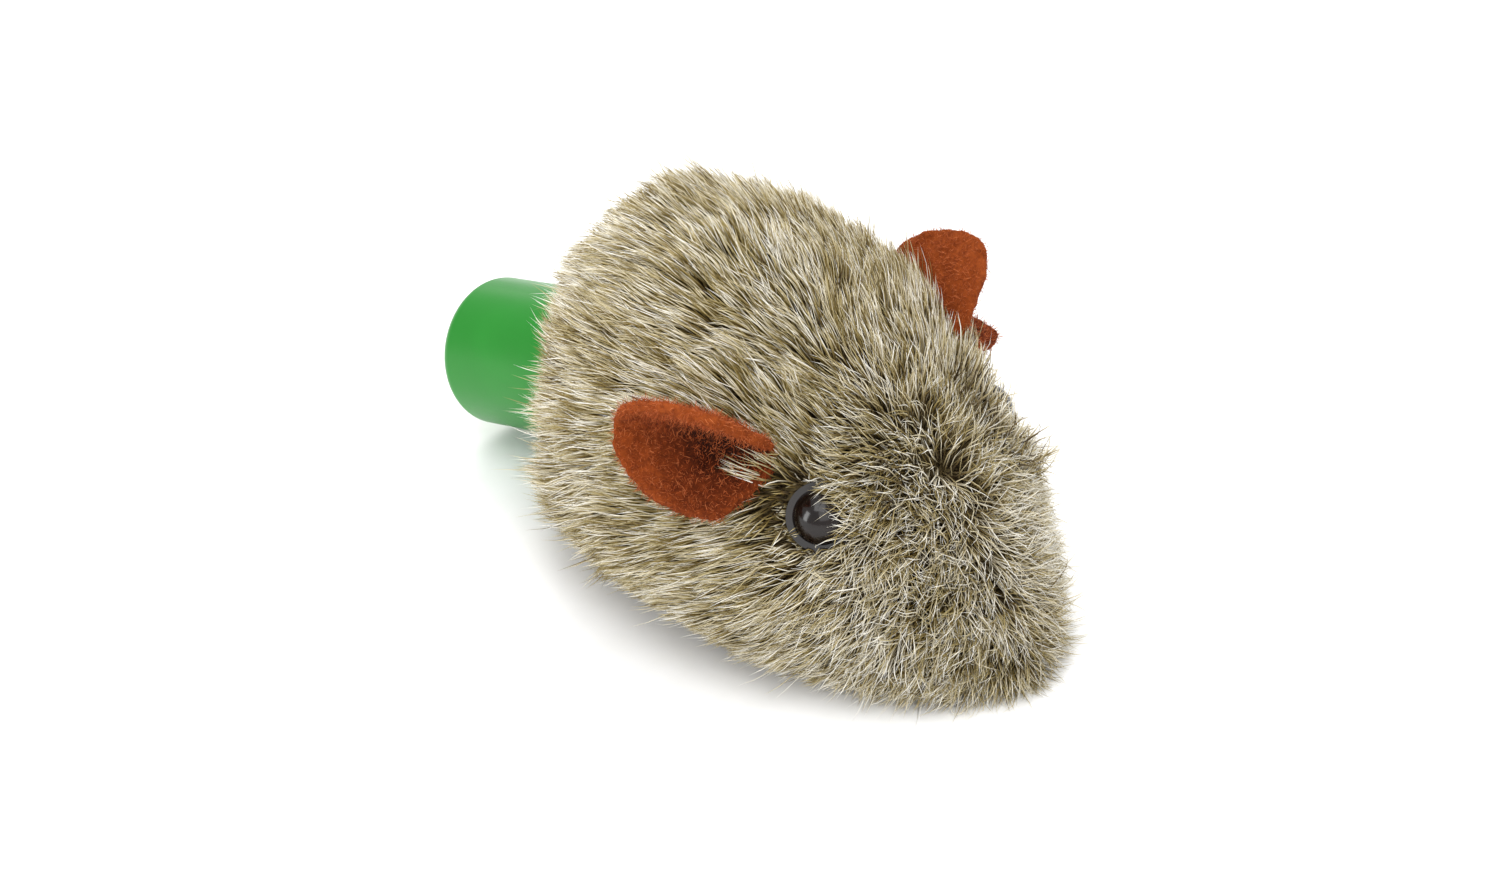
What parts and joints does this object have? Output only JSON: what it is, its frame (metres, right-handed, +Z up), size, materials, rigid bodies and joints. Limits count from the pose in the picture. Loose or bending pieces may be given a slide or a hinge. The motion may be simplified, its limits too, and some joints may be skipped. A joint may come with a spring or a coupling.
{
  "type": "wind-up mouse",
  "caption": "Plush wind-up mouse with felt ears, glossy eyes and a round winding knob at the tail, on a flat base with driven wheels and a front roller",
  "frame": {"origin": "on the floor, under the middle of the whole length from the knob's end to the nose", "axes": "+X from the tail knob to the nose, +Y to the mouse's left, +Z up"},
  "size_m": [0.109, 0.0644, 0.0544],
  "materials": {
    "fur": "plush pile with dark roots and pale tips on a woven backing",
    "felt": "thick rust-orange felt",
    "eye": "polished dark brown plastic",
    "washer": "natural white moulded plastic",
    "knob": "satin green moulded plastic",
    "shell": "plain moulded plastic",
    "base": "fine grained moulded plastic",
    "wheel": "plain moulded plastic",
    "tyre": "soft rubber ring",
    "steel": "turned and plated",
    "tinplate": "pressed bright tinplate",
    "blued": "blued spring steel",
    "brass": "stamped brass"
  },
  "bodies": {
    "chassis": {"fur_cover": "fur", "upper_shell": "shell", "base_plate": "base", "ear_left": "felt", "ear_right": "felt", "eye_left": "eye", "eye_right": "eye", "eye_washers": "washer", "shaft_bush": "brass", "spring_cup": "tinplate", "cup_lid": "tinplate", "mainspring": "blued", "motor_plate_left": "tinplate", "motor_plate_right": "tinplate", "plate_pillars": "steel", "roller_pin": "steel", "motor_screws": "steel", "shell_screws": "steel"},
    "winder": {"winding_knob": "knob", "winding_shaft": "steel", "ratchet_wheel": "steel"},
    "crown": {"crown_wheel": "brass", "click_spring": "steel"},
    "layshaft": {"middle_arbor": "steel", "arbor_pinion": "brass", "arbor_wheel": "brass"},
    "drive": {"drive_axle": "steel", "axle_pinion": "brass", "wheel_left": "wheel", "wheel_right": "wheel", "tyre_left": "tyre", "tyre_right": "tyre"},
    "roller": {"front_roller": "wheel"}
  },
  "joints": [
    {"name": "winding", "type": "hinge", "parent": "chassis", "child": "winder", "pos_m": [-0.02309, 0, 0.01958], "axis": [0.9659, 0, 0.2588], "range_deg": [0, 1440], "stiffness_Nm_per_rad": 0.0004, "deforming": ["mainspring", "click_spring"]},
    {"name": "drive_spin", "type": "hinge", "parent": "chassis", "child": "drive", "pos_m": [-0.00188, 0, 0.01], "axis": [0, 1, 0], "continuous": true},
    {"name": "layshaft_spin", "type": "hinge", "parent": "chassis", "child": "layshaft", "pos_m": [-0.00188, 0, 0.02527], "axis": [0, 1, 0], "continuous": true},
    {"name": "crown_spin", "type": "hinge", "parent": "chassis", "child": "crown", "pos_m": [-0.00763, 0, 0.02372], "axis": [0.9659, 0, 0.2588], "continuous": true},
    {"name": "roller_spin", "type": "hinge", "parent": "chassis", "child": "roller", "pos_m": [0.03344, 0, 0.005], "axis": [0, 1, 0], "continuous": true}
  ],
  "couplings": [
    {"joint": "layshaft_spin", "follows": "drive_spin", "ratio": -0.3},
    {"joint": "crown_spin", "follows": "drive_spin", "ratio": -0.125}
  ]
}
